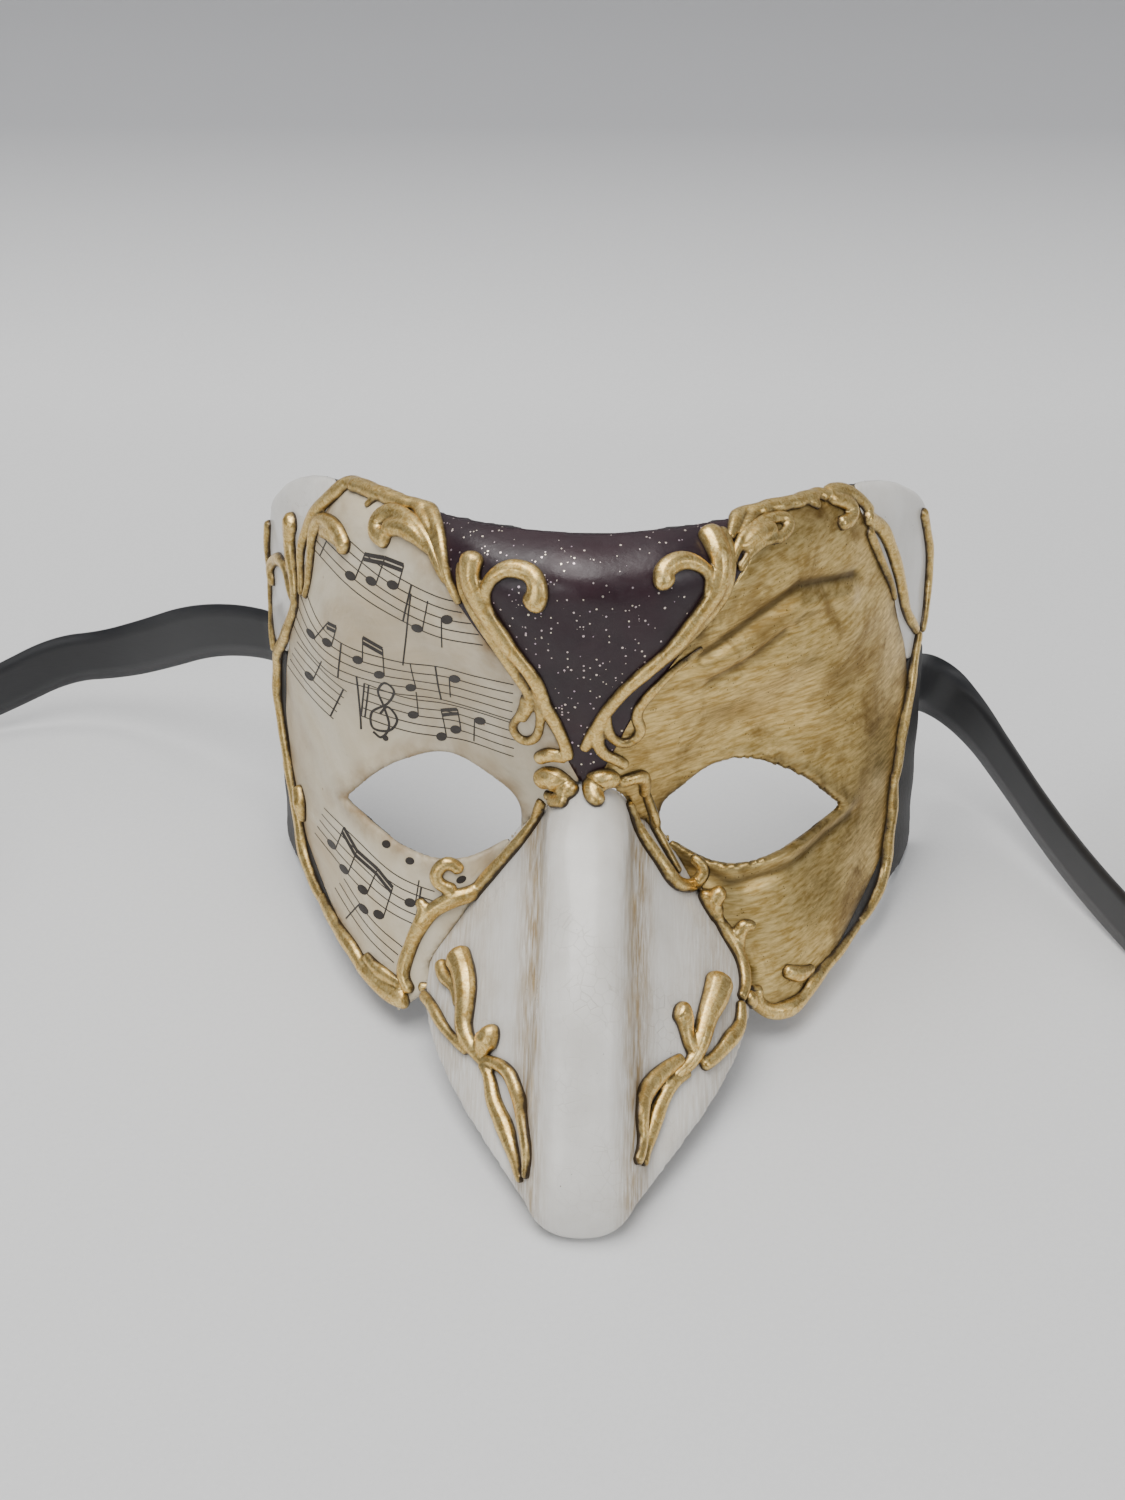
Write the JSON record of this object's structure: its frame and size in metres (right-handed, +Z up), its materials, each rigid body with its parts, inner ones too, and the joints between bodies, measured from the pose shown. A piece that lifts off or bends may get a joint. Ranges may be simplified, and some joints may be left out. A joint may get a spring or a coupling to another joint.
{
  "type": "plague doctor mask",
  "caption": "Half face carnival mask with a long hooked beak, almond eye holes, gilt relief scrolls and satin ribbon ties.",
  "frame": {"origin": "centre of the mask's box on the table it stands on, without its ribbons", "axes": "+Z up, the beak points along -Y, +X to the right of someone who looks at the mask from the front"},
  "size_m": [0.5088, 0.1781, 0.1203],
  "materials": {
    "papier_mache": "black painted papier-mache",
    "pearl_paint": "pearl white lacquer over papier-mache",
    "dark_lacquer": "near-black maroon lacquer with glitter",
    "music_paper": "varnished printed paper",
    "gold_leaf": "brushed antique gold leaf",
    "temple_pearl": "pearl white lacquer",
    "side_black": "black paint",
    "gilt_gesso": "gilt gesso with dark patina",
    "ribbon_satin": "black satin",
    "patch_cloth": "black cloth"
  },
  "bodies": {
    "root": {"face_shell": "papier_mache", "beak_shell": "pearl_paint", "centre_lacquer_panel": "dark_lacquer", "music_paper_panel": "music_paper", "gold_leaf_panel": "gold_leaf", "left_temple_panel": "temple_pearl", "left_side_panel": "side_black", "left_brow_arch": "gilt_gesso", "left_comma_leaf": "gilt_gesso", "left_forehead_scroll": "gilt_gesso", "left_side_border": "gilt_gesso", "left_rim_border": "gilt_gesso", "left_cheek_border": "gilt_gesso", "left_nose_scroll": "gilt_gesso", "left_root_leaf": "gilt_gesso", "left_nostril_scroll": "gilt_gesso", "left_beak_leaf": "gilt_gesso", "left_ribbon": "ribbon_satin", "left_ribbon_patch": "patch_cloth", "right_temple_panel": "temple_pearl", "right_side_panel": "side_black", "right_brow_arch": "gilt_gesso", "right_comma_leaf": "gilt_gesso", "right_forehead_scroll": "gilt_gesso", "right_side_border": "gilt_gesso", "right_rim_border": "gilt_gesso", "right_cheek_border": "gilt_gesso", "right_nose_scroll": "gilt_gesso", "right_root_leaf": "gilt_gesso", "right_nostril_scroll": "gilt_gesso", "right_beak_leaf": "gilt_gesso", "right_ribbon": "ribbon_satin", "right_ribbon_patch": "patch_cloth"}
  },
  "joints": []
}
